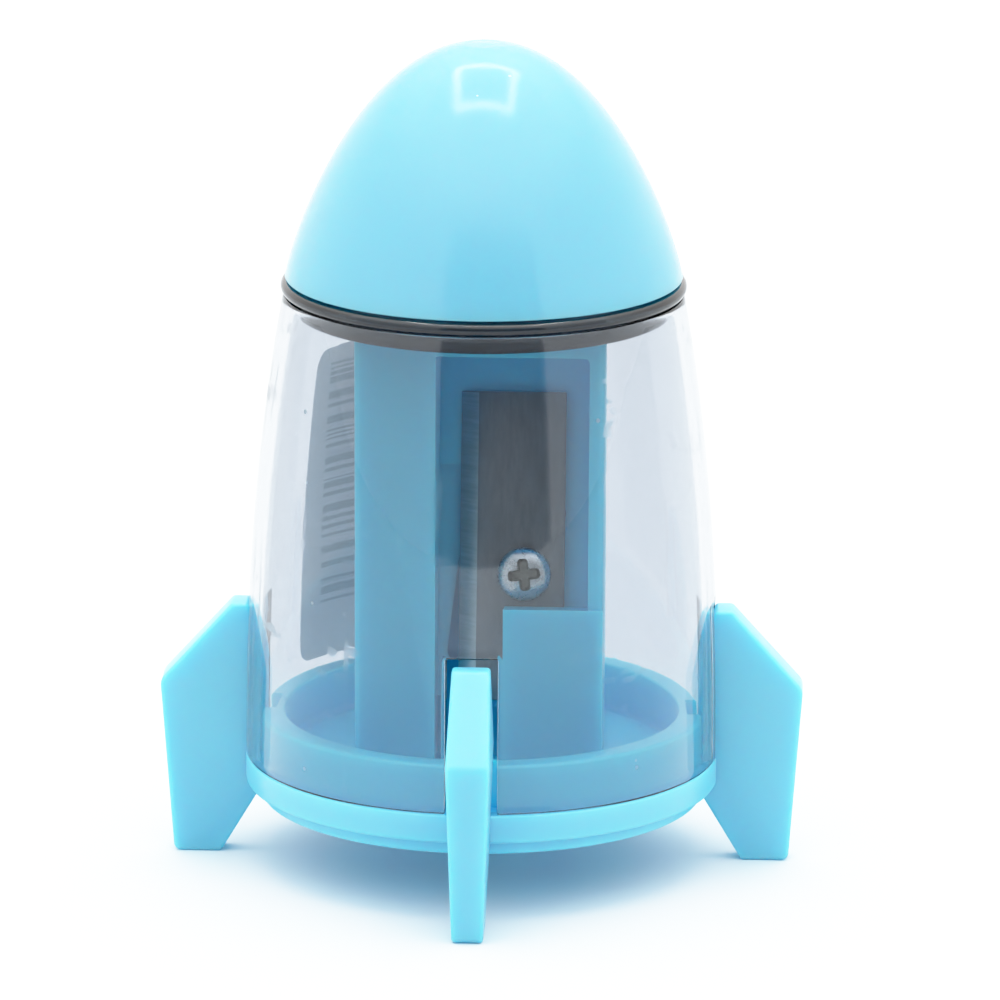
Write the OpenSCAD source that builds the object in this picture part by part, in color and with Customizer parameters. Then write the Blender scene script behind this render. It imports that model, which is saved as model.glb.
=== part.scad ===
// Rocket-shaped pencil sharpener with a shavings chamber.
// Millimetres. The origin is on the axis at the level of the feet, +Z points at the nose,
// and one fin points along each of -Y, +X, +Y and -X. The blade faces -Y.

/* [Nose cone] */
// Radius of the nose cone at its open edge
nose_r = 15.12; // [15:0.02:15.2]
// Height of the nose cone above its open edge
nose_h = 18.1; // [17:0.1:20]
// Fullness of the nose near its edge
nose_edge_power = 1.22; // [1.15:0.01:1.35]
// Bluntness of the nose tip
nose_tip_power = 2.12; // [1.9:0.01:2.3]
// Wall thickness of the nose cone
nose_wall = 1.4; // [1.2:0.1:1.6]

/* [Coupling ring] */
// Radius of the bead that shows between nose and barrel
bead_r = 15.45; // [15.3:0.05:15.7]
// Height of the bead
bead_h = 1; // [0.8:0.1:1.2]
// Radius of the opening through the ring
ring_bore_r = 12.3; // [11.8:0.1:12.5]
// Height of the neck that the nose is pressed on to
neck_h = 2.1; // [1.6:0.1:2.4]
// Depth of the spigot inside the barrel
spigot_h = 1.6; // [1.2:0.1:1.8]

/* [Barrel] */
// Outer radius of the barrel at its foot
barrel_foot_r = 18.15; // [18:0.05:18.3]
// Outer radius of the barrel at its lip
barrel_lip_r = 15.25; // [15.1:0.05:15.4]
// Height of the barrel
barrel_h = 36.1; // [35.5:0.05:38]
// How late the barrel starts to curve in
barrel_power = 2.26; // [2:0.01:2.6]
// Wall thickness of the barrel
barrel_wall = 1.05; // [0.9:0.05:1.1]
// Width of the slots that let the fins through
slot_w = 4; // [3.8:0.1:4.4]
// Height of the slots
slot_h = 12; // [11.9:0.1:14]

/* [Base] */
// Radius of the flange under the barrel
flange_r = 18.15; // [18:0.05:18.3]
// Height of the flange's top face above the feet
flange_top_z = 8.3; // [8.2:0.1:8.6]
// Thickness of the flange
flange_t = 2.2; // [2:0.1:2.4]
// Radius of the step below the flange
step_r = 17; // [16.6:0.1:17.2]
// Height of the step below the flange
step_h = 1.15; // [1:0.05:1.2]
// Outer radius of the ring that plugs into the barrel
plug_r = 16.9; // [16.8:0.02:16.94]
// Wall thickness of that ring
plug_wall = 1.8; // [1.4:0.1:1.9]
// Height of that ring above the flange
plug_h = 3.65; // [3:0.05:4]

/* [Fins] */
// Number of fins
fin_count = 4; // [4]
// Thickness of a fin
fin_t = 3; // [2.8:0.1:3.2]
// Reach of a fin's corner from the axis
fin_tip_r = 24.7; // [24:0.1:25.4]
// Height of that corner above the feet
fin_tip_z = 13.8; // [13:0.1:14.4]
// Height of a fin's top above the feet
fin_top_z = 19.9; // [19.5:0.05:20]
// Outer radius of a fin's foot
foot_outer_r = 23.7; // [23.4:0.1:24]
// Inner radius of a fin's foot
foot_inner_r = 20.1; // [19.8:0.1:20.6]

/* [Sharpener block] */
// Width of the block
block_w = 18.7; // [18.4:0.1:19]
// Depth of the block
block_d = 13; // [12.8:0.1:13.4]
// Height of the block above the floor
block_h = 34.2; // [34:0.1:34.3]
// Radius of the pencil bore
bore_r = 4.1; // [4:0.05:4.15]
// Height above the feet where the bore starts to taper
taper_start_z = 13.4; // [13:0.1:13.8]
// Height above the feet where the taper would meet the axis
taper_apex_z = 34; // [33.8:0.1:34.6]
// Left edge of the blade pocket
pocket_left_x = -3.3; // [-3.5:0.1:-3]
// Right edge of the blade pocket
pocket_right_x = 8.2; // [8:0.1:8.4]
// Height of the raised guard over the foot of the blade
guard_h = 13.1; // [12.6:0.1:13.1]

/* [Blade and screw] */
// Width of the blade
blade_w = 8; // [7.8:0.1:8]
// Length of the blade
blade_l = 23.6; // [23:0.1:24]
// Thickness of the blade
blade_t = 0.9; // [0.7:0.1:1]
// Cutting edge of the blade, sideways from the axis
blade_edge_x = -1.65; // [-1.8:0.05:-1.2]
// Diameter of the screw's head
screw_head_d = 4.1; // [3.8:0.1:4.2]
// Diameter of the screw's shank
screw_shank_d = 1.8; // [1.6:0.1:1.8]
// Length of the screw below its head
screw_l = 5; // [4:0.5:6]
// Screw's place sideways from the axis
screw_x = 3.3; // [3.3:0.05:3.5]
// Screw's place below the apex of the taper, along the blade
screw_down = 11.25; // [10:0.05:11.4]

/* [Label] */
// Height of the label
label_h = 25.7; // [20:0.1:27]
// Height of the label's lower edge above the feet
label_z = 12.3; // [11:0.1:14]
// Angle round the axis where the label starts
label_from = 100; // [98:1:110]
// Angle round the axis where the label ends
label_to = 149; // [135:1:155]

/* [Hidden] */

$fn = 96;
far = 40;
over = 1;
seat_gap = 0.05;
notch_depth = 1.2;

barrel_foot_z = flange_top_z + seat_gap;
barrel_lip_z = barrel_foot_z + barrel_h;
bead_z = barrel_lip_z + seat_gap;
nose_gap = 0.15;
nose_z = bead_z + bead_h + nose_gap;

step_z = flange_top_z - flange_t - step_h;
core_depth = 1.6;
core_outer_r = step_r - 1.5;
hub_r = 8;
socket_r = 6.05;
block_spigot_r = socket_r - seat_gap;

block_top_z = flange_top_z + block_h;
taper_deg = atan(bore_r / (taper_apex_z - taper_start_z));
taper_tip_r = 0.5;
blade_seat = 0.25;
pocket_top_gap = 1.6;
pocket_corner_r = 0.4;
guard_left_x = 1.85;
guard_proud = 0.5;
guard_clear = 0.1;
mouth_right_x = -0.9;
mouth_top_z = 31;
mouth_lip = 0.5;
blade_bottom = -21;
screw_head_h = 1.1;
screw_hole_clear = 0.3;
pilot_clear = 0.05;

recess_turn = 7;
label_t = 0.12;
label_gap = 0.02;
label_corner_r = 1.5;

curve_steps = 28;
arc_steps = 8;

function unit(v) = v / norm(v);

// Points of an arc of radius r that rounds the corner p between a and b
function round_corner(a, p, b, r) =
    let (
        u = unit(a - p),
        v = unit(b - p),
        half = acos(u * v) / 2,
        centre = p + unit(u + v) * r / sin(half),
        from = p + u * r / tan(half) - centre,
        to = p + v * r / tan(half) - centre,
        start = atan2(from.y, from.x),
        turn = atan2(from.x * to.y - from.y * to.x, from * to)
    )
    [for (i = [0:arc_steps]) centre + r * [cos(start + turn * i / arc_steps), sin(start + turn * i / arc_steps)]];

// Outline with every corner rounded by its own radius; a radius of 0 keeps the corner sharp
function rounded(points, radii) =
    let (n = len(points))
    [for (i = [0:n - 1])
        each radii[i] > 0
            ? round_corner(points[(i + n - 1) % n], points[i], points[(i + 1) % n], radii[i])
            : [points[i]]];

// Radius of a nose-shaped curve at the height h above its edge
function nose_curve(h, r, rise) =
    r * pow(max(1 - pow(h / rise, nose_edge_power), 0), 1 / nose_tip_power);

// Heights that lie closer together towards the tip
function nose_heights(rise, low) =
    [for (i = [0:curve_steps]) low + (rise - low) * (1 - pow(1 - i / curve_steps, 2))];

// Outer radius of the barrel at the height z above the feet
function barrel_curve(z) =
    barrel_foot_r - (barrel_foot_r - barrel_lip_r) * pow((z - barrel_foot_z) / barrel_h, barrel_power);

// Heights spread evenly from low to high
function even_heights(low, high) =
    [for (i = [0:curve_steps]) low + (high - low) * i / curve_steps];

// Place children in the blade's frame: its z runs up the blade, its -y points out of the pocket
module on_blade_slope() {
    translate([0, 0, taper_apex_z])
        rotate([-taper_deg, 0, 0])
            children();
}

// Solid between two sideways positions with a side-on outline of [y, z] points
module side_prism(left_x, right_x, outline) {
    translate([left_x, 0, 0])
        rotate([90, 0, 90])
            linear_extrude(right_x - left_x)
                polygon(outline);
}

// Depth of the pocket's floor at the height z
function floor_y(z) =
    (z - taper_apex_z) * tan(taper_deg) + blade_seat / cos(taper_deg);

// One fin in the XZ plane, with its root inside the flange
module fin() {
    root_r = plug_r;
    outline = rounded(
        [
            [root_r - over, flange_top_z - over],
            [root_r, flange_top_z - over],
            [root_r, fin_top_z - 3.9],
            [root_r + 1, fin_top_z],
            [root_r + 2.3, fin_top_z],
            [fin_tip_r, fin_tip_z],
            [foot_outer_r, 0],
            [foot_inner_r, 0],
            [step_r - 0.1, step_z + 0.4],
            [root_r - over, step_z + 0.4]
        ],
        [0, 0, 1, 0.3, 0.5, 1.2, 0.6, 0.4, 0, 0]);
    translate([0, fin_t / 2, 0])
        rotate([90, 0, 0])
            linear_extrude(fin_t)
                polygon(outline);
}

// Repeat a shape at each fin
module each_fin() {
    for (i = [0:fin_count - 1])
        rotate([0, 0, i * 360 / fin_count])
            children();
}

// Flange, plug ring, fins and feet in one moulding
module base() {
    color([0.55, 0.86, 0.95]) {
        difference() {
            union() {
                translate([0, 0, flange_top_z - flange_t])
                    cylinder(r = flange_r, h = flange_t);
                translate([0, 0, step_z])
                    cylinder(r = step_r, h = step_h + over / 2);
                difference() {
                    translate([0, 0, flange_top_z - over / 2])
                        cylinder(r = plug_r, h = plug_h + over / 2);
                    translate([0, 0, flange_top_z])
                        cylinder(r = plug_r - plug_wall, h = plug_h + over);
                    each_fin()
                        translate([plug_r - notch_depth, -slot_w / 2, flange_top_z])
                            cube([far, slot_w, plug_h + over]);
                }
                each_fin()
                    fin();
            }
            translate([0, 0, step_z - over])
                difference() {
                    cylinder(r = core_outer_r, h = core_depth + over);
                    cylinder(r = hub_r, h = core_depth + over);
                }
            translate([0, 0, step_z - over])
                cylinder(r = socket_r, h = far);
        }
    }
}

// Straight pencil bore with the cone that the blade cuts to
module pencil_bore() {
    translate([0, 0, step_z - over])
        cylinder(r = bore_r, h = taper_start_z - step_z + over);
    cone_end_z = taper_apex_z - taper_tip_r / tan(taper_deg);
    translate([0, 0, taper_start_z])
        cylinder(r1 = bore_r, r2 = taper_tip_r, h = cone_end_z - taper_start_z);
}

// Space in front of the slanted floor that the blade lies on
module blade_pocket() {
    low_z = flange_top_z - over;
    high_z = block_top_z - pocket_top_gap;
    intersection() {
        side_prism(pocket_left_x, pocket_right_x,
            [[-far, low_z], [floor_y(low_z), low_z], [floor_y(high_z), high_z], [-far, high_z]]);
        translate([0, far / 2, 0])
            rotate([90, 0, 0])
                linear_extrude(far + far / 2)
                    polygon(rounded(
                        [
                            [pocket_left_x, low_z],
                            [pocket_right_x, low_z],
                            [pocket_right_x, high_z],
                            [pocket_left_x, high_z]
                        ],
                        [0, 0, pocket_corner_r, pocket_corner_r / 2]));
    }
}

// Opening beside the cutting edge where the shavings leave the bore
module shavings_mouth() {
    low_z = flange_top_z - over;
    low_y = -1.2;
    low_top_z = taper_start_z - 0.6;
    side_prism(pocket_left_x, guard_left_x,
        [[-far, low_z], [low_y, low_z], [low_y, low_top_z], [-far, low_top_z]]);
    side_prism(pocket_left_x, mouth_right_x,
        [
            [-far, low_top_z - over],
            [low_y, low_top_z - over],
            [low_y, low_top_z],
            [floor_y(taper_start_z) + mouth_lip * 2, taper_start_z],
            [floor_y(mouth_top_z) + mouth_lip, mouth_top_z],
            [-far, mouth_top_z]
        ]);
}

// Raised guard that covers the foot of the blade on the right
module blade_guard() {
    front_y = -block_d / 2 - guard_proud;
    high_z = flange_top_z + guard_h;
    blade_foot_z = taper_apex_z + blade_bottom * cos(taper_deg) - guard_clear * 2;
    back = blade_t - blade_seat + guard_clear;
    blade_front_y = function(z) (z - taper_apex_z) * tan(taper_deg) - back / cos(taper_deg);
    top_fall = (blade_front_y(high_z) - front_y) * sin(taper_deg) * cos(taper_deg);
    back_z = high_z - top_fall;
    side_prism(guard_left_x, block_w / 2,
        [
            [front_y, flange_top_z],
            [floor_y(flange_top_z) + over, flange_top_z],
            [floor_y(blade_foot_z) + over, blade_foot_z],
            [blade_front_y(blade_foot_z), blade_foot_z],
            [blade_front_y(back_z), back_z],
            [front_y, high_z]
        ]);
}

// Block with the pencil bore, the blade's pocket and the shavings' way out
module sharpener_block() {
    color([0.45, 0.73, 0.83]) {
        difference() {
            union() {
                difference() {
                    translate([-block_w / 2, -block_d / 2, flange_top_z])
                        cube([block_w, block_d, block_h]);
                    blade_pocket();
                }
                blade_guard();
                translate([0, 0, step_z])
                    cylinder(r = block_spigot_r, h = flange_top_z - step_z + over / 2);
            }
            pencil_bore();
            shavings_mouth();
            on_blade_slope()
                translate([screw_x, 0, -screw_down])
                    rotate([-90, 0, 0])
                        cylinder(d = screw_shank_d + 2 * pilot_clear, h = screw_l + over / 2);
        }
    }
}

// Flat steel blade, ground to an edge on its left side
module blade() {
    color([0.42, 0.44, 0.47])
        on_blade_slope()
            difference() {
                translate([0, 0, blade_bottom])
                    linear_extrude(blade_l)
                        polygon([
                            [blade_edge_x, blade_seat],
                            [blade_edge_x + blade_w, blade_seat],
                            [blade_edge_x + blade_w, blade_seat - blade_t],
                            [blade_edge_x + 1.35, blade_seat - blade_t],
                            [blade_edge_x, blade_seat - 0.12]
                        ]);
                translate([screw_x, over, -screw_down])
                    rotate([90, 0, 0])
                        cylinder(d = screw_shank_d + 2 * screw_hole_clear, h = blade_t + 2 * over);
            }
}

// Pan-head screw with a cross recess, which clamps the blade
module blade_screw() {
    head_r = screw_head_d / 2;
    recess_w = 0.95;
    recess_l = 3.2;
    recess_depth = 0.7;
    color([0.78, 0.8, 0.8])
        on_blade_slope()
            translate([screw_x, blade_seat - blade_t, -screw_down])
                rotate([90, 0, 0])
                    difference() {
                        union() {
                            rotate_extrude()
                                polygon(concat(
                                    [[0, 0], [head_r, 0], [head_r, 0.3]],
                                    [for (i = [1:arc_steps])
                                        [head_r * cos(90 * i / arc_steps),
                                         0.3 + (screw_head_h - 0.3) * sin(90 * i / arc_steps)]]));
                            translate([0, 0, -screw_l])
                                cylinder(d = screw_shank_d, h = screw_l + 0.1);
                        }
                        for (turn = [recess_turn, recess_turn + 90])
                            rotate([0, 0, turn])
                                translate([-recess_l / 2, -recess_w / 2, screw_head_h - recess_depth])
                                    cube([recess_l, recess_w, far]);
                    }
}

// Smoky clear shell, slotted from its foot for the fins
module barrel() {
    heights = even_heights(barrel_foot_z, barrel_lip_z);
    color([0.82, 0.86, 0.9, 0.45])
        difference() {
            rotate_extrude()
                polygon(concat(
                    [for (z = heights) [barrel_curve(z), z]],
                    [for (i = [0:curve_steps])
                        let (z = heights[curve_steps - i])
                        [barrel_curve(z) - barrel_wall, z]]));
            each_fin()
                translate([barrel_lip_r - barrel_wall - over, -slot_w / 2, barrel_foot_z - over])
                    cube([far, slot_w, slot_h + over]);
        }
}

// Paper label on the outside of the barrel, left of the back fin
module label() {
    heights = even_heights(label_z, label_z + label_h);
    sweep = label_to - label_from;
    half_w = barrel_foot_r * sin(sweep / 2) - 0.2;
    color([0.9, 0.91, 0.92])
        intersection() {
            rotate([0, 0, label_from])
                rotate_extrude(angle = sweep)
                    polygon(concat(
                        [for (z = heights) [barrel_curve(z) + label_gap + label_t, z]],
                        [for (i = [0:curve_steps])
                            let (z = heights[curve_steps - i])
                            [barrel_curve(z) + label_gap, z]]));
            rotate([0, 0, (label_from + label_to) / 2])
                rotate([90, 0, 90])
                    linear_extrude(far)
                        polygon(rounded(
                            [
                                [-half_w, label_z],
                                [half_w, label_z],
                                [half_w, label_z + label_h],
                                [-half_w, label_z + label_h]
                            ],
                            [for (i = [0:3]) label_corner_r]));
        }
}

// Dark ring: a spigot in the barrel, a bead that shows, and a neck in the nose cone
module coupling_ring() {
    spigot_r = barrel_lip_r - barrel_wall - 0.15;
    neck_r = nose_r - 1.92;
    bead_round_r = bead_h / 2;
    color([0.2, 0.24, 0.27])
        rotate_extrude()
            polygon(concat(
                [
                    [ring_bore_r, bead_z - spigot_h],
                    [spigot_r - 0.25, bead_z - spigot_h],
                    [spigot_r, bead_z - spigot_h + 0.4],
                    [spigot_r, bead_z]
                ],
                [for (i = [0:arc_steps])
                    let (a = -90 + 180 * i / arc_steps)
                    [bead_r - bead_round_r + bead_round_r * cos(a), bead_z + bead_round_r + bead_round_r * sin(a)]],
                [
                    [neck_r, bead_z + bead_h],
                    [neck_r, bead_z + bead_h + neck_h],
                    [ring_bore_r, bead_z + bead_h + neck_h]
                ]));
}

// Hollow nose cone with a straight land inside its edge
module nose_cone() {
    land_r = nose_r - 1.87;
    land_h = neck_h + 0.05;
    inner_rise = nose_h - nose_wall;
    outer = [for (h = nose_heights(nose_h, 0)) [nose_curve(h, nose_r, nose_h), h]];
    inner = [for (h = nose_heights(inner_rise, land_h)) [nose_curve(h, nose_r - nose_wall, inner_rise), h]];
    color([0.53, 0.84, 0.94])
        translate([0, 0, nose_z])
            rotate_extrude()
                polygon(concat(
                    outer,
                    [for (i = [0:curve_steps]) inner[curve_steps - i]],
                    [[land_r, land_h], [land_r, 0]]));
}

base();
sharpener_block();
blade();
blade_screw();
barrel();
label();
coupling_ring();
nose_cone();
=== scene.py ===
# %% [markdown]
# # A rocket pencil sharpener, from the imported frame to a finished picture
# The sharpener is eight pieces: a finned base with a blade block on it, a clear barrel that catches
# the shavings, and a nose cone on a dark ring. The frame below holds their true sizes and the two
# joints. Each lesson takes one piece, says what it is on the bench, and models it again with rounded
# edges and a proper finish, exactly where the frame says it belongs.

# %% Load the frame
import math

import bpy
from mathutils import Matrix, Quaternion, Vector


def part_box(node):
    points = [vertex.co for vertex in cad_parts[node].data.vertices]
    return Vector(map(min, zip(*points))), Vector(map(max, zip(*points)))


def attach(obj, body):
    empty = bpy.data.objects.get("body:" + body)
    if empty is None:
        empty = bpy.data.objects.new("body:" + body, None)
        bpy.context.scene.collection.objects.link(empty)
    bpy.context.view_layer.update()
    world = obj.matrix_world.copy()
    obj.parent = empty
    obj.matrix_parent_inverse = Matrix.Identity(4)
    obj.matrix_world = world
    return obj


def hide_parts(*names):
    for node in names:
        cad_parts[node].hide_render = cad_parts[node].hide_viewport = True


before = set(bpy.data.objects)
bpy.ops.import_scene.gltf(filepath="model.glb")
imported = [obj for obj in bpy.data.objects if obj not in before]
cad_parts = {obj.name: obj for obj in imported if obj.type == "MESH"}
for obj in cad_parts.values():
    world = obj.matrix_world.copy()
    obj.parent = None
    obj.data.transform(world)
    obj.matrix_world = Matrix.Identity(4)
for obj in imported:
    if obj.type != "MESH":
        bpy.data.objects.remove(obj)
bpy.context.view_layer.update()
MM = 0.001
print("nodes:", sorted(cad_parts))

# %% [markdown]
# ## Small tools
# Modelling with operators means telling Blender what is selected before each step. These helpers
# clear the selection, pick parts of a mesh by where they are, apply a modifier, and hand a finished
# piece over to the frame: its place goes into its mesh, it rides on a body, and it stands for a node.

# %% Selection and finishing helpers
def clear_selection():
    if bpy.context.object and bpy.context.object.mode != "OBJECT":
        bpy.ops.object.mode_set(mode="OBJECT")
    bpy.ops.object.select_all(action="DESELECT")


def activate(piece):
    clear_selection()
    piece.select_set(True)
    bpy.context.view_layer.objects.active = piece


def to_object_mode():
    bpy.ops.object.mode_set(mode="OBJECT")


def edit_all(piece):
    """Open a piece in edit mode with everything selected."""
    activate(piece)
    bpy.ops.object.mode_set(mode="EDIT")
    bpy.ops.mesh.select_all(action="SELECT")


def select_in_edit_mode(piece, kind, wanted):
    """Select the faces, edges or vertices for which wanted(item) is true, and stay in edit mode."""
    activate(piece)
    bpy.ops.object.mode_set(mode="EDIT")
    bpy.ops.mesh.select_mode(type=kind)
    bpy.ops.mesh.select_all(action="DESELECT")
    to_object_mode()
    mesh = piece.data
    items = {"FACE": mesh.polygons, "EDGE": mesh.edges, "VERT": mesh.vertices}[kind]
    for item in items:
        item.select = wanted(item)
    bpy.ops.object.mode_set(mode="EDIT")


def edge_middle(piece, edge):
    first, last = (piece.data.vertices[i].co for i in edge.vertices)
    return (first + last) / 2


def edge_direction(piece, edge):
    first, last = (piece.data.vertices[i].co for i in edge.vertices)
    return (last - first).normalized()


def apply_modifier(piece, kind, **settings):
    """Add one modifier with these settings and apply it at once."""
    activate(piece)
    modifier = piece.modifiers.new(kind.lower(), kind)
    for key, value in settings.items():
        setattr(modifier, key, value)
    bpy.ops.object.modifier_apply(modifier=modifier.name)


def combine(piece, other, operation):
    """Boolean other into piece, then delete other."""
    apply_modifier(piece, "BOOLEAN", object=other, operation=operation, solver="EXACT")
    bpy.data.objects.remove(other)


def tidy_normals(piece):
    """Merge doubles, drop loose edges such as one along the axis, and turn every face outwards."""
    edit_all(piece)
    bpy.ops.mesh.remove_doubles(threshold=0.002 * MM)
    bpy.ops.mesh.delete_loose()
    bpy.ops.mesh.select_all(action="SELECT")
    bpy.ops.mesh.normals_make_consistent(inside=False)
    to_object_mode()


def round_edges(piece, width, angle=40, segments=3):
    """Round every edge that is sharper than angle, as a mould or a grinder leaves it."""
    apply_modifier(
        piece, "BEVEL", width=width, segments=segments, limit_method="ANGLE",
        angle_limit=math.radians(angle), use_clamp_overlap=True,
    )


def soften(piece, angle=35):
    """Shade smooth, but keep edges sharper than this angle crisp."""
    activate(piece)
    bpy.ops.object.shade_smooth_by_angle(angle=math.radians(angle))


def triangles(piece):
    return sum(len(face.vertices) - 2 for face in piece.data.polygons)


def apply_place(piece):
    """Write a piece's place, turn and scale into its mesh."""
    activate(piece)
    bpy.ops.object.transform_apply(location=True, rotation=True, scale=True)


def box(size, middle, turn=0.0):
    """A box of this size about a middle point, turned about its own upright axis."""
    clear_selection()
    bpy.ops.mesh.primitive_cube_add(size=1)
    piece = bpy.context.object
    piece.scale = size
    piece.location = middle
    piece.rotation_euler = (0, 0, turn)
    apply_place(piece)
    return piece


def give_finishes(piece, main, second=None, wanted=None):
    """Give a piece its finish, and a second one to the faces for which wanted(face) is true."""
    piece.data.materials.append(main)
    if second:
        piece.data.materials.append(second)
        select_in_edit_mode(piece, "FACE", wanted)
        piece.active_material_index = 1
        bpy.ops.object.material_slot_assign()
        to_object_mode()


def hand_over(piece, name, body, slot, *nodes):
    """Name a finished piece and let it ride in the frame in place of its CAD nodes."""
    apply_place(piece)
    piece.name = name
    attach(piece, body)
    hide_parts(*nodes)
    print(f"{name}: {len(piece.data.vertices)} vertices, {triangles(piece)} triangles, rides {body}")
    return piece

# %% [markdown]
# ## Turned and extruded shapes
# The nose, the ring, the barrel and the base are bodies of revolution. The way to make one by hand is
# to draw half its section and spin it. The pen here is a single vertex that is extruded from point to
# point along the section. The same pen draws the flat outlines of the fins and of the cutters, which
# are then filled and extruded.

# %% Draw an outline, spin it or extrude it
def draw_outline(points, closed):
    """Extrude one vertex along the points, and back to the first if closed. Stays in edit mode."""
    clear_selection()
    bpy.ops.mesh.primitive_plane_add(size=MM)
    piece = bpy.context.object
    bpy.ops.object.mode_set(mode="EDIT")
    bpy.ops.mesh.select_mode(type="VERT")
    bpy.ops.mesh.merge(type="CENTER")
    bpy.ops.transform.translate(value=points[0])
    pen = Vector(points[0])
    for point in [*points[1:], *(points[:1] if closed else [])]:
        step = Vector(point) - pen
        bpy.ops.mesh.extrude_region_move(TRANSFORM_OT_translate={"value": step})
        pen = Vector(point)
    bpy.ops.mesh.select_all(action="SELECT")
    if closed:
        bpy.ops.mesh.remove_doubles(threshold=0.001 * MM)
    return piece


def turned(section, steps=144, closed=True):
    """Spin a section of (radius, height) points once round the axis."""
    piece = draw_outline([(r, 0, z) for r, z in section], closed)
    bpy.ops.mesh.spin(steps=steps, angle=2 * math.pi, center=(0, 0, 0), axis=(0, 0, 1))
    to_object_mode()
    tidy_normals(piece)
    return piece


def extruded(points, along):
    """Fill a flat outline and extrude it by the vector along."""
    piece = draw_outline(points, closed=True)
    bpy.ops.mesh.edge_face_add()
    bpy.ops.mesh.extrude_region_move(TRANSFORM_OT_translate={"value": along})
    to_object_mode()
    tidy_normals(piece)
    return piece


def side_slab(outline, left, right):
    """A solid between two sideways places, with a side-on outline of (y, z) points."""
    return extruded([(left, y, z) for y, z in outline], (right - left, 0, 0))


def arc(centre, radius, start, end, steps):
    """Points of a circular arc, angles in degrees from the first axis towards the second."""
    angles = [math.radians(start + (end - start) * i / steps) for i in range(steps + 1)]
    return [(centre[0] + radius * math.cos(a), centre[1] + radius * math.sin(a)) for a in angles]

# %% [markdown]
# ## Sizes from the frame
# Everything that the frame can say is read from it, so that a new piece fits without measuring
# twice. What the boxes don't show, such as a wall's thickness, is named here once.

# %% Read the main sizes
nose_low, nose_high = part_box("nose_cone")
ring_low, ring_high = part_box("coupling_ring")
barrel_low, barrel_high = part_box("barrel")
_, base_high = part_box("base")
block_low, block_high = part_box("sharpener_block")
label_low, label_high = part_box("label")

FLANGE_R = 18.15 * MM
FLANGE_TOP = barrel_low.z - 0.05 * MM
FLANGE_BOTTOM = FLANGE_TOP - 2.2 * MM
STEP_BOTTOM = block_low.z
STEP_R = 17.0 * MM
PLUG_R = 16.9 * MM
PLUG_WALL = 1.8 * MM
PLUG_TOP = FLANGE_TOP + 3.65 * MM
LIP_R = 15.25 * MM
BARREL_WALL = 1.05 * MM
SLOT_HALF = 2.0 * MM
SLOT_TOP = barrel_low.z + 12.0 * MM
BORE_R = 4.1 * MM
TAPER_START = 13.4 * MM
TAPER_APEX = 34.0 * MM
TAPER = math.atan(BORE_R / (TAPER_APEX - TAPER_START))
BLADE_SEAT = 0.25 * MM
BLADE_T = 0.9 * MM
print("nose radius", round(nose_high.x / MM, 2), "taper in degrees", round(math.degrees(TAPER), 2))


def barrel_radius(z):
    """Outer radius of the barrel at a height."""
    share = (z - barrel_low.z) / (barrel_high.z - barrel_low.z)
    return FLANGE_R - (FLANGE_R - LIP_R) * share ** 2.26


def seat_y(z, lift=0.0):
    """How far back the blade's seat lies at a height; lift moves the plane out of the pocket."""
    return (z - TAPER_APEX) * math.tan(TAPER) + (BLADE_SEAT - lift) / math.cos(TAPER)

# %% [markdown]
# ## The camera
# A product is best seen from a little above and far away through a long lens, which keeps its
# uprights upright. The camera stands 63 cm away, 14 degrees up and a touch to the right of the front
# fin, and aims just below the middle of the sharpener.

# %% Place the camera
CAMERA_FAR = 629.5 * MM
CAMERA_UP = 0.25041
CAMERA_ROUND = 0.04423
CAMERA_ROLL = 0.00505
CAMERA_LENS = 296.9
AIM_ASIDE = 1.31 * MM
AIM_UP = -3.80 * MM
middle = Vector((0, 0, 32 * MM))
back = Vector((
    math.sin(CAMERA_ROUND) * math.cos(CAMERA_UP),
    -math.cos(CAMERA_ROUND) * math.cos(CAMERA_UP),
    math.sin(CAMERA_UP),
))
level = (-back).to_track_quat("-Z", "Y")
aim = middle + level @ Vector((AIM_ASIDE, AIM_UP, 0))
camera_data = bpy.data.cameras.new("product_camera")
camera_data.sensor_width = 36
camera_data.lens = CAMERA_LENS
camera_data.clip_start = 0.01
camera_data.clip_end = 20
camera = bpy.data.objects.new("product_camera", camera_data)
bpy.context.scene.collection.objects.link(camera)
camera.location = middle + back * CAMERA_FAR
camera.rotation_mode = "QUATERNION"
looking = (aim - camera.location).to_track_quat("-Z", "Y")
camera.rotation_quaternion = looking @ Quaternion((0, 0, 1), CAMERA_ROLL)
bpy.context.scene.camera = camera
print("camera at", [round(v, 3) for v in camera.location])

# %% [markdown]
# ## The light tent
# Small glossy things are best shown in a white tent: white walls all round, a square of lamps in
# its roof, and an opening in front for the camera. Gloss shows the tent itself, so the opening is
# part of the light: the world is white except for a dimmer rectangle towards the camera.

# %% Build the white world with its front opening
def link(tree, source, target):
    tree.links.new(source, target)


def set_inputs(node, values):
    """Set plain values on a node's sockets by name."""
    for name, value in values.items():
        node.inputs[name].default_value = value


def maths(tree, operation, *values):
    """A Math node; each value is a number or a socket."""
    node = tree.nodes.new("ShaderNodeMath")
    node.operation = operation
    for socket, value in zip(node.inputs, values):
        if isinstance(value, bpy.types.NodeSocket):
            link(tree, value, socket)
        else:
            socket.default_value = value
    return node.outputs[0]


def ramp_between(tree, value, low, high, out_low=0.0, out_high=1.0):
    """Smoothly map value from low..high to out_low..out_high."""
    node = tree.nodes.new("ShaderNodeMapRange")
    node.interpolation_type = "SMOOTHSTEP"
    link(tree, value, node.inputs["Value"])
    set_inputs(node, {"From Min": low, "From Max": high, "To Min": out_low, "To Max": out_high})
    return node.outputs["Result"]


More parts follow.
